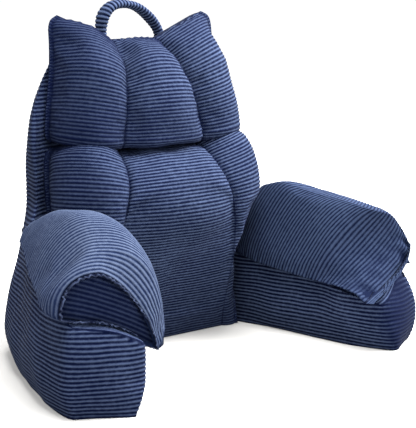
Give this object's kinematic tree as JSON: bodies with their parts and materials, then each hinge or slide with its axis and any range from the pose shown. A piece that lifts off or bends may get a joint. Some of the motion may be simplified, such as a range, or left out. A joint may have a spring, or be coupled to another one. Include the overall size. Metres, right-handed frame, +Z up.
{
  "type": "reading pillow with arms",
  "caption": "Soft backrest pillow with two low arms, padded arm rests, a channelled back cushion, a headrest with pointed corners and a carry handle, in navy corduroy.",
  "frame": {"origin": "on the floor under the front wall of the back, on the middle plane, in the bag's flat base", "axes": "-Y to the front, where the arms point; +X to the right for one who looks at the front; +Z up"},
  "size_m": [0.8218, 0.5282, 0.6477],
  "materials": {
    "bag_corduroy": "wide-wale corduroy, navy",
    "cushion_corduroy": "wide-wale corduroy, navy",
    "pad_corduroy": "wide-wale corduroy, navy, cords across the arm",
    "rim_corduroy": "gathered corduroy edge, navy, paler on its folds",
    "handle_corduroy": "ribbed corduroy tube, navy"
  },
  "bodies": {
    "root": {"body": "bag_corduroy", "back_cushion": "cushion_corduroy", "headrest_cushion": "cushion_corduroy", "arm_pad_right": "pad_corduroy", "arm_pad_left": "pad_corduroy", "pad_end_right": "pad_corduroy", "pad_end_left": "pad_corduroy", "pad_rim_right": "rim_corduroy", "pad_rim_left": "rim_corduroy", "carry_handle": "handle_corduroy"}
  },
  "joints": []
}
